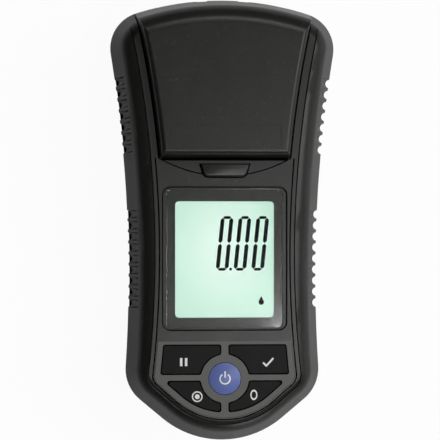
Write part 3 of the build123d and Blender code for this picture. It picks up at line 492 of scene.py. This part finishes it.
def flat_piece(name, outlines, z, thickness, body, material, lift=None):
    """Flat faces from lists of (x, y) in millimetres, given a thickness; lift(x, y) adds height."""
    mesh = bmesh.new()
    for outline in outlines:
        corners = [mesh.verts.new((x * MM, y * MM, 0.0)) for x, y in outline]
        mesh.faces.new(corners)
    bmesh.ops.remove_doubles(mesh, verts=mesh.verts, dist=WELD_REACH)
    bmesh.ops.recalc_face_normals(mesh, faces=mesh.faces)
    for face in mesh.faces:
        if face.normal.z < 0:
            face.normal_flip()
    thicken(mesh, thickness)
    for vert in mesh.verts:
        vert.co.z += z + (lift(vert.co.x, vert.co.y) if lift else 0.0)
    bmesh.ops.recalc_face_normals(mesh, faces=mesh.faces)
    piece = new_piece(name, mesh, material)
    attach(piece, body)
    return piece


def add_bevel(piece, width, segments):
    """Rounds a piece's sharp edges."""
    bevel = piece.modifiers.new("bevel", "BEVEL")
    bevel.width = width
    bevel.segments = segments
    bevel.limit_method = "ANGLE"


def beside(place, across, along):
    """A point at a given distance from another."""
    return (place[0] + across, place[1] + along)


def arc_points(centre, radius, angles):
    """Points on a circle, at angles in degrees."""
    turns = [radians(angle) for angle in angles]
    return [(centre[0] + radius * cos(t), centre[1] + radius * sin(t)) for t in turns]


def arc_band(centre, radius, width, start, end, steps, squeeze=1.0):
    """Quads along a ring's arc, angles in degrees; squeeze narrows it across."""
    quads = []
    for i in range(steps):
        turns = [radians(start + (end - start) * k / steps) for k in (i, i + 1)]
        inner = [(radius - width / 2, t) for t in turns]
        outer = [(radius + width / 2, t) for t in reversed(turns)]
        quads.append([
            (centre[0] + r * cos(t) * squeeze, centre[1] + r * sin(t)) for r, t in inner + outer
        ])
    return quads


def bar(start, end, width):
    """A straight stroke between two points."""
    run = Vector(end) - Vector(start)
    across = Vector((-run.y, run.x)).normalized() * width / 2
    return [tuple(Vector(p) + across * s) for p, s in ((start, 1), (start, -1), (end, -1), (end, 1))]


CORNER_STEPS = 6


def rounded_rectangle(centre, width, height, radius):
    """The outline of a rectangle with rounded corners."""
    outline = []
    for quarter, (across, along) in enumerate(((1, 1), (-1, 1), (-1, -1), (1, -1))):
        corner = beside(centre, across * (width / 2 - radius), along * (height / 2 - radius))
        angles = [90 * (quarter + k / CORNER_STEPS) for k in range(CORNER_STEPS + 1)]
        outline += arc_points(corner, radius, angles)
    return outline


def ring_quads(outer, inner):
    """Quads between two outlines of the same count."""
    count = len(outer)
    quads = []
    for k in range(count):
        after = (k + 1) % count
        quads.append([outer[k], outer[after], inner[after], inner[k]])
    return quads


# Screws: pan heads with a cross recess, in place of the CAD's plain ones
HEAD_R = 2.6 * MM
HEAD_HEIGHT = 1.8 * MM
DOOR_HEAD_HEIGHT = 0.9 * MM
HEAD_EDGE = 0.35 * MM
SHANK_R = 1.4 * MM
ROUND_STEPS = 32
# The recess as shares of the head's radius, and its depth as a share of the head's height
ARM_REACH = 0.55
ARM_HALF = 0.15
RECESS_DEPTH = 0.62
DECK_SCREWS = ((20.6, 27.0), (22.0, 64.0))
CASE_SCREWS = ((25.7, -52.0), (25.6, -24.0), (30.7, 56.0))


def ring_of(mesh, centre, radius, z):
    """A circle of vertices."""
    turns = [2 * pi * k / ROUND_STEPS for k in range(ROUND_STEPS)]
    return [mesh.verts.new((centre[0] + radius * cos(t), centre[1] + radius * sin(t), z)) for t in turns]


def loop_edges(mesh, verts):
    """The edges that join vertices in turn, back to the first."""
    return [mesh.edges.get((a, b)) for a, b in zip(verts, verts[1:] + verts[:1])]


def bridge(mesh, lower, upper):
    """Quads between two loops of the same count."""
    for k in range(len(lower)):
        after = (k + 1) % len(lower)
        mesh.faces.new((lower[k], lower[after], upper[after], upper[k]))


def cross_points(centre):
    """The outline of a cross recess, seen along its screw."""
    reach = HEAD_R * ARM_REACH
    half = HEAD_R * ARM_HALF
    points = []
    for quarter in range(4):
        turn = quarter * pi / 2
        for x, y in ((reach, -half), (reach, half), (half, half)):
            across = centre[0] + x * cos(turn) - y * sin(turn)
            along = centre[1] + x * sin(turn) + y * cos(turn)
            points.append((across, along))
    return points


def add_screw(mesh, centre, head_z, seat_z, end_z):
    """One screw whose drive is at head_z; seat_z is under its head and end_z is the shank's end."""
    toward = 1 if head_z > seat_z else -1
    top = ring_of(mesh, centre, HEAD_R - HEAD_EDGE, head_z)
    rim = ring_of(mesh, centre, HEAD_R, head_z - toward * HEAD_EDGE)
    foot = ring_of(mesh, centre, HEAD_R, seat_z)
    neck = ring_of(mesh, centre, SHANK_R, seat_z)
    tip = ring_of(mesh, centre, SHANK_R, end_z)
    for lower, upper in ((rim, top), (foot, rim), (neck, foot), (tip, neck)):
        bridge(mesh, lower, upper)
    mesh.faces.new(tip)
    cross = cross_points(centre)
    floor_z = head_z + (seat_z - head_z) * RECESS_DEPTH
    mouth = [mesh.verts.new((x, y, head_z)) for x, y in cross]
    floor = [mesh.verts.new((x, y, floor_z)) for x, y in cross]
    bridge(mesh, floor, mouth)
    mesh.faces.new(floor)
    drive_edges = loop_edges(mesh, top) + loop_edges(mesh, mouth)
    bmesh.ops.triangle_fill(mesh, use_beauty=True, edges=drive_edges)


def screw_set(name, node, places, head_up, head_height, body):
    """Screws at (x, y) places in millimetres that stand for a CAD node of plain ones."""
    low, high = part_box(node)
    head_z, end_z = (high.z, low.z) if head_up else (low.z, high.z)
    seat_z = head_z + (-head_height if head_up else head_height)
    mesh = bmesh.new()
    for x, y in places:
        add_screw(mesh, (x * MM, y * MM), head_z, seat_z, end_z)
    bmesh.ops.recalc_face_normals(mesh, faces=mesh.faces)
    piece = new_piece(name, mesh, finishes["screw"])
    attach(piece, body)
    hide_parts(node)


def both_sides(places):
    return [(side * x, y) for x, y in places for side in (-1, 1)]


screw_set("deck_screw_set", "deck_screws", both_sides(DECK_SCREWS), True, HEAD_HEIGHT, "case")
screw_set("case_screw_set", "case_screws", both_sides(CASE_SCREWS), False, HEAD_HEIGHT, "case")
door_low, door_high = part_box("door_screw")
door_screw = [(0.0, (door_low.y + door_high.y) / 2 / MM)]
screw_set("door_screw_set", "door_screw", door_screw, False, DOOR_HEAD_HEIGHT, "battery_door")

# The lens, with a polished bevel round its edge; it clears the printed border under it by a hair
LENS_CORNER = 2.1
LENS_BEVEL = 0.12 * MM
LENS_BEVEL_STEPS = 2
LENS_LIFT = 0.03 * MM
lens_low, lens_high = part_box("display_lens")
lens_middle = (lens_low + lens_high) / 2 / MM
lens_width = (lens_high.x - lens_low.x) / MM
lens_height = (lens_high.y - lens_low.y) / MM
lens_outline = rounded_rectangle(lens_middle, lens_width, lens_height, LENS_CORNER)
lens_thickness = lens_high.z - lens_low.z - LENS_LIFT
lens = flat_piece(
    "lens", [lens_outline], lens_low.z + LENS_LIFT, lens_thickness, "case", finishes["lens"],
)
add_bevel(lens, LENS_BEVEL, LENS_BEVEL_STEPS)
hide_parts("display_lens")

# The display's figures: seven-segment digits, leaning to the right
FIGURE_RELIEF = 0.04 * MM
DIGIT_COUNT = 3
DIGIT_HEIGHT = 19.0
DIGIT_WIDTH = 4.45
DIGIT_PITCH = 6.22
DIGIT_LEAN = tan(radians(5.8))
DIGIT_FOOT = (-3.1, -17.65)
UPRIGHT = 1.38
CROSSBAR = 1.0
SEGMENT_GAP = 0.1
POINT_START = (1.75, -17.1)
POINT_END = (2.65, -17.1)
POINT_WIDTH = 0.95


def segment(start, end, width):
    """A stroke with pointed ends between two corners of a digit."""
    along = (Vector(end) - Vector(start)).normalized()
    across = Vector((-along.y, along.x)) * width / 2
    first = Vector(start) + along * SEGMENT_GAP
    last = Vector(end) - along * SEGMENT_GAP
    nib = along * width / 2
    points = [
        first, first + nib + across, last - nib + across,
        last, last - nib - across, first + nib - across,
    ]
    return [tuple(p) for p in points]


def digit_zero(index):
    """The six lit strokes of a nought."""
    left = DIGIT_FOOT[0] + DIGIT_PITCH * index + UPRIGHT / 2
    right = left + DIGIT_WIDTH - UPRIGHT
    foot = DIGIT_FOOT[1] + CROSSBAR / 2
    head = foot + DIGIT_HEIGHT - CROSSBAR
    middle = (foot + head) / 2
    strokes = []
    for x in (left, right):
        strokes.append(segment((x, foot), (x, middle), UPRIGHT))
        strokes.append(segment((x, middle), (x, head), UPRIGHT))
    for y in (foot, head):
        strokes.append(segment((left, y), (right, y), CROSSBAR))
    return [[(x + (y - DIGIT_FOOT[1]) * DIGIT_LEAN, y) for x, y in stroke] for stroke in strokes]


ink = printed("segment_ink", SEGMENT_INK, 0.6, specular=0.02)
figures = [stroke for index in range(DIGIT_COUNT) for stroke in digit_zero(index)]
figures.append(bar(POINT_START, POINT_END, POINT_WIDTH))
flat_piece("display_figures", figures, glass_high.z, FIGURE_RELIEF, "case", ink)

# A drop in the display's corner: a round belly, open on top, that runs up to a tip
DROP_CENTRE = (12.9, -28.6)
DROP_R = 0.95
DROP_TIP = 2.3 * DROP_R
DROP_BELLY = range(-210, 31, 12)
drop = arc_points(DROP_CENTRE, DROP_R, DROP_BELLY)
drop.append(beside(DROP_CENTRE, 0.0, DROP_TIP))
flat_piece("display_drop", [drop], glass_high.z, FIGURE_RELIEF, "case", ink)

# Signs on the keys
white = printed("key_ink", PRINT_WHITE, 0.45)
INK = 0.03 * MM
SIGN_STROKE = 0.62
RING_STEPS = 36
key_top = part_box("hold_key")[1].z

# Two upright bars
HOLD_AT = (-14.3, -49.2)
HOLD_STROKE = 0.85
HOLD_APART = 0.85
HOLD_REACH = 1.4
hold_sign = [
    bar(beside(HOLD_AT, across, -HOLD_REACH), beside(HOLD_AT, across, HOLD_REACH), HOLD_STROKE)
    for across in (-HOLD_APART, HOLD_APART)
]
flat_piece("hold_sign", hold_sign, key_top, INK, "hold_key", white)

# A tick, whose strokes cross at its foot, so one is a trace thicker
TEST_AT = (15.0, -49.4)
TAIL_INK = INK * 1.02
TICK_SHORT = ((-1.7, -0.1), (-0.45, -1.35))
TICK_LONG = ((-0.68, -1.35), (1.9, 1.45))
tick_short = bar(*(beside(TEST_AT, *end) for end in TICK_SHORT), SIGN_STROKE)
tick_long = bar(*(beside(TEST_AT, *end) for end in TICK_LONG), SIGN_STROKE)
flat_piece("test_sign", [tick_short], key_top, INK, "test_key", white)
flat_piece("test_sign_tail", [tick_long], key_top, TAIL_INK, "test_key", white)

# A dot in a ring
RECORD_AT = (-9.6, -61.2)
RECORD_DOT_R = 0.85
RECORD_RING_R = 1.65
RECORD_STROKE = 0.42
RECORD_DOT_ANGLES = range(0, 360, 15)
record_dot = arc_points(RECORD_AT, RECORD_DOT_R, RECORD_DOT_ANGLES)
record_sign = [record_dot] + arc_band(RECORD_AT, RECORD_RING_R, RECORD_STROKE, 0, 360, RING_STEPS)
flat_piece("record_sign", record_sign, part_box("record_key")[1].z, INK, "record_key", white)

# A nought
ZERO_AT = (10.1, -60.7)
ZERO_R = 1.5
ZERO_SQUEEZE = 0.68
zero_sign = arc_band(ZERO_AT, ZERO_R, SIGN_STROKE, 0, 360, RING_STEPS, squeeze=ZERO_SQUEEZE)
flat_piece("zero_sign", zero_sign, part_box("zero_key")[1].z, INK, "zero_key", white)

# A ring open on top, with a stem in short lengths that follow the power key's dome
power_low, power_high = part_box("power_key")
POWER_AT = (0.0, (power_low.y + power_high.y) / 2 / MM)
POWER_SIGN_R = 1.75
POWER_STROKE = 0.5
POWER_OPENING = 32
POWER_STEPS = 40
STEM_FOOT = 0.5
STEM_LENGTH = 0.35
STEM_COUNT = 6
DOME_RISE = 0.9 * MM
DOME_HALF = 5.5 * MM
dome_r = (DOME_HALF**2 + DOME_RISE**2) / (2 * DOME_RISE)


def dome_height(x, y):
    """Height of the power key's crown, which is part of a sphere."""
    away_squared = x**2 + (y - POWER_AT[1] * MM) ** 2
    return power_high.z - dome_r + sqrt(dome_r**2 - away_squared)


ring_start = 90 + POWER_OPENING
ring_end = 450 - POWER_OPENING
power_sign = arc_band(POWER_AT, POWER_SIGN_R, POWER_STROKE, ring_start, ring_end, POWER_STEPS)
for step in range(STEM_COUNT):
    foot = POWER_AT[1] + STEM_FOOT + STEM_LENGTH * step
    power_sign.append(bar((0.0, foot), (0.0, foot + STEM_LENGTH), POWER_STROKE))
flat_piece("power_sign", power_sign, 0.0, INK, "power_key", white, lift=dome_height)


# Painted shade: matt black strips at the bottom of the panel's and the lid's grooves, where shade falls
painted_shade = moulded("painted_shade_black", PAINTED_SHADE_BLACK, 0.9, depth=0.004 * MM, wear_and_highlight=0.0, specular=0.02, dust=0.0)
GAP_THICKNESS = 0.02 * MM
STRIP_THICKNESS = 0.1 * MM
PANEL_GROOVE_DEPTH = 0.5 * MM
LEVEL_REACH = 0.01 * MM
LEVEL_NORMAL = 0.9


def keep_faces(mesh, kept):
    """Deletes the other faces of a mesh."""
    bmesh.ops.delete(mesh, geom=[face for face in mesh.faces if face not in kept], context="FACES")


def islands_of(mesh):
    """Sets of faces that hang together by their edges."""
    islands = []
    left = set(mesh.faces)
    while left:
        waiting = [left.pop()]
        island = set(waiting)
        while waiting:
            for edge in waiting.pop().edges:
                for face in edge.link_faces:
                    if face in left:
                        left.discard(face)
                        island.add(face)
                        waiting.append(face)
        islands.append(island)
    return islands


def reach_along(faces):
    """How far faces reach along y."""
    ys = [vert.co.y for face in faces for vert in face.verts]
    return max(ys) - min(ys)


def painted_groove_shade(name, node, z):
    """A thin copy, in painted shade, of the longest upward band of a node's faces at one height."""
    mesh = bmesh.new()
    mesh.from_mesh(nodes[node].data)
    bmesh.ops.remove_doubles(mesh, verts=mesh.verts, dist=WELD_REACH)
    upward = [face for face in mesh.faces if face.normal.z > LEVEL_NORMAL]
    keep_faces(mesh, {face for face in upward if abs(face.calc_center_median().z - z) < LEVEL_REACH})
    keep_faces(mesh, max(islands_of(mesh), key=reach_along))
    thicken(mesh, GAP_THICKNESS)
    bmesh.ops.recalc_face_normals(mesh, faces=mesh.faces)
    piece = new_piece(name, mesh, painted_shade)
    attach(piece, "case")


panel_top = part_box("front_panel")[1].z
painted_groove_shade("panel_groove_painted_shade", "front_panel", panel_top - PANEL_GROOVE_DEPTH)

# Painted shade: a dark line around the display's bezel, where its step meets its floor
BEZEL_CENTRE = (0.0, -13.4)
BEZEL_WIDTH = 43.6
BEZEL_HEIGHT = 50.1
BEZEL_CORNER = 3.0
BEZEL_LINE = 0.4
BEZEL_DEPTH = 0.8 * MM
BEZEL_LINE_THICKNESS = 0.3 * MM


def bezel_outline(inset):
    """The bezel's outline, drawn in by a distance."""
    width = BEZEL_WIDTH - 2 * inset
    height = BEZEL_HEIGHT - 2 * inset
    return rounded_rectangle(BEZEL_CENTRE, width, height, BEZEL_CORNER - inset)


bezel_painted_shade_line = ring_quads(bezel_outline(0.0), bezel_outline(BEZEL_LINE))
bezel_z = panel_top - BEZEL_DEPTH
flat_piece("bezel_painted_shade_line", bezel_painted_shade_line, bezel_z, BEZEL_LINE_THICKNESS, "case", painted_shade)

# Painted shade: a black strip at the bottom of the lid's groove in front of its plateau
PLATEAU_FRONT = 21.5
GROOVE_HALF = 22.0
GROOVE_WIDTH = 0.9
CRESCENT_DROP = 0.4 * MM
LID_GROOVE_DEPTH = 0.45 * MM
groove = [
    (-GROOVE_HALF, PLATEAU_FRONT - GROOVE_WIDTH), (GROOVE_HALF, PLATEAU_FRONT - GROOVE_WIDTH),
    (GROOVE_HALF, PLATEAU_FRONT), (-GROOVE_HALF, PLATEAU_FRONT),
]
groove_z = panel_top - CRESCENT_DROP - LID_GROOVE_DEPTH
flat_piece("lid_groove_painted_shade", [groove], groove_z, STRIP_THICKNESS, "lid", painted_shade)

# A rounded cap on the lid's finger tab, with painted shadow in a dark gap around it
TAB_HALF_TOP = 8.5
TAB_HALF_FOOT = 7.7
TAB_TOP = 19.4
TAB_FOOT = 15.0
TAB_CORNER = 2.0
TAB_STEPS = 8
TAB_GAP = 0.45
TAB_TOP_SHARE = 0.3
TAB_LIFT = 0.05 * MM
CAP_THICKNESS = 1.45 * MM
CAP_BEVEL = 0.55 * MM
CAP_BEVEL_STEPS = 3


def tab_outline(grow=0.0):
    """The tab seen from above: straight on top, narrower and round-cornered at its foot.

    It may be grown all round, though by a share alone on top.
    """
    half_top = TAB_HALF_TOP + grow
    top = TAB_TOP + grow * TAB_TOP_SHARE
    outline = [(half_top, top), (-half_top, top)]
    for side, first in ((-1, 180), (1, 270)):
        corner = (side * (TAB_HALF_FOOT - TAB_CORNER), TAB_FOOT + TAB_CORNER)
        angles = [first + 90 * step / TAB_STEPS for step in range(TAB_STEPS + 1)]
        outline += arc_points(corner, TAB_CORNER + grow, angles)
    return outline


tab_z = panel_top + TAB_LIFT
flat_piece("tab_gap_painted_shadow", [tab_outline(TAB_GAP)], tab_z, STRIP_THICKNESS, "lid", painted_shade)
cap = flat_piece(
    "tab_cap", [tab_outline()], tab_z + STRIP_THICKNESS, CAP_THICKNESS, "lid", finishes["lid"],
)
add_bevel(cap, CAP_BEVEL, CAP_BEVEL_STEPS)
cap.data.shade_smooth()

# A white mark on the well's collar, which the mark on a vial is turned to
WELL_Y = 45.0
INDEX_FROM_WELL = 16.1
INDEX_HALF = 0.9
INDEX_FOOT = 0.3
INDEX_TIP = 1.3
INDEX_AT = (0.0, WELL_Y - INDEX_FROM_WELL)
index_mark = [
    beside(INDEX_AT, -INDEX_HALF, -INDEX_FOOT), beside(INDEX_AT, INDEX_HALF, -INDEX_FOOT),
    beside(INDEX_AT, 0.0, INDEX_TIP),
]
flat_piece("index_mark", [index_mark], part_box("sample_well")[1].z, INK, "case", white)


# Floor, light and camera

# The camera's own rays see the floor and the room lit by these shares
FLOOR_SEEN = 0.95
ROOM_SEEN = 1.0
FLOOR_HALF = 3.0
FLOOR_GAP = 0.05 * MM
FLOOR_PALE = (0.86, 0.86, 0.86, 1.0)
ROOM_LEFT = 0.0
ROOM_RIGHT = 0.17
LIGHT_AIM = Vector((0.0, 0.0, 0.04))


def plain_floor():
    """A pale floor that the camera sees as nearly white, with the object's shadow kept faintly."""
    material = bpy.data.materials.new("floor")
    material.use_nodes = True
    tree = material.node_tree
    tree.nodes.clear()
    diffuse = tree.nodes.new("ShaderNodeBsdfDiffuse")
    diffuse.inputs["Color"].default_value = FLOOR_PALE
    glow = tree.nodes.new("ShaderNodeEmission")
    glow.inputs["Color"].default_value = (1.0, 1.0, 1.0, 1.0)
    path = tree.nodes.new("ShaderNodeLightPath")
    seen = tree.nodes.new("ShaderNodeMath")
    seen.operation = "MULTIPLY"
    seen.inputs[1].default_value = FLOOR_SEEN
    mix = tree.nodes.new("ShaderNodeMixShader")
    output = tree.nodes.new("ShaderNodeOutputMaterial")
    tree.links.new(path.outputs["Is Camera Ray"], seen.inputs[0])
    tree.links.new(seen.outputs["Value"], mix.inputs["Fac"])
    tree.links.new(diffuse.outputs["BSDF"], mix.inputs[1])
    tree.links.new(glow.outputs["Emission"], mix.inputs[2])
    tree.links.new(mix.outputs["Shader"], output.inputs["Surface"])
    data = bpy.data.meshes.new("floor")
    half = FLOOR_HALF
    corners = [(-half, -half, 0), (half, -half, 0), (half, half, 0), (-half, half, 0)]
    data.from_pydata(corners, [], [(0, 1, 2, 3)])
    data.materials.append(material)
    floor = bpy.data.objects.new("floor", data)
    floor.location.z = cad_box[0].z - FLOOR_GAP
    scene.collection.objects.link(floor)


def studio_world():
    """A soft room, brighter on the right; the camera sees it white."""
    world = bpy.data.worlds.new("studio")
    scene.world = world
    world.use_nodes = True
    tree = world.node_tree
    tree.nodes.clear()
    place = tree.nodes.new("ShaderNodeTexCoord")
    split = tree.nodes.new("ShaderNodeSeparateXYZ")
    side = tree.nodes.new("ShaderNodeMapRange")
    side.inputs["From Min"].default_value = -1.0
    side.inputs["From Max"].default_value = 1.0
    side.inputs["To Min"].default_value = ROOM_LEFT
    side.inputs["To Max"].default_value = ROOM_RIGHT
    path = tree.nodes.new("ShaderNodeLightPath")
    strength = tree.nodes.new("ShaderNodeMix")
    strength.data_type = "FLOAT"
    strength.inputs[3].default_value = ROOM_SEEN
    background = tree.nodes.new("ShaderNodeBackground")
    output = tree.nodes.new("ShaderNodeOutputWorld")
    tree.links.new(place.outputs["Generated"], split.inputs["Vector"])
    tree.links.new(split.outputs["X"], side.inputs["Value"])
    tree.links.new(path.outputs["Is Camera Ray"], strength.inputs[0])
    tree.links.new(side.outputs["Result"], strength.inputs[2])
    tree.links.new(strength.outputs[0], background.inputs["Strength"])
    tree.links.new(background.outputs["Background"], output.inputs["Surface"])


def area_light(name, place, size, power):
    """A rectangular lamp turned to the object."""
    lamp = bpy.data.lights.new(name, "AREA")
    lamp.shape = "RECTANGLE"
    lamp.size, lamp.size_y = size
    lamp.energy = power
    obj = bpy.data.objects.new(name, lamp)
    obj.location = place
    obj.rotation_euler = (LIGHT_AIM - Vector(place)).to_track_quat("-Z", "Y").to_euler()
    scene.collection.objects.link(obj)


plain_floor()
studio_world()
area_light("key", place=(0.60, 0.12, 0.82), size=(0.5, 0.5), power=3.9)
area_light("tail", place=(0.13, -0.12, 0.88), size=(0.26, 0.08), power=1.6)
area_light("tail_strip", place=(0.30, -0.75, 0.24), size=(0.4, 0.16), power=1.1)
area_light("right_strip", place=(0.75, 0.05, 0.16), size=(0.8, 0.22), power=0.7)
area_light("top_strip", place=(0.14, 0.50, 0.74), size=(0.5, 0.10), power=1.4)

# The photograph's frame: at the height of the outline, the object's length fills the picture, and the
# eye is a little left of its middle
SENSOR = 36.0
OUTLINE_Z = 0.043
STAND_OFF = 0.700
EYE_X = -0.051
AIM_X = -0.0008
outline_length = cad_box[1].y - cad_box[0].y
camera_data = bpy.data.cameras.new("camera")
camera_data.sensor_width = SENSOR
camera_data.lens = SENSOR * STAND_OFF / outline_length
camera = bpy.data.objects.new("camera", camera_data)
camera.location = (EYE_X, 0.0, OUTLINE_Z + STAND_OFF)
backward = (camera.location - Vector((AIM_X, 0.0, OUTLINE_Z))).normalized()
rightward = Vector((0.0, 1.0, 0.0)).cross(backward).normalized()
upward = backward.cross(rightward)
camera.rotation_euler = Matrix((rightward, upward, backward)).transposed().to_euler()
scene.collection.objects.link(camera)
scene.camera = camera
scene.view_settings.view_transform = "Standard"
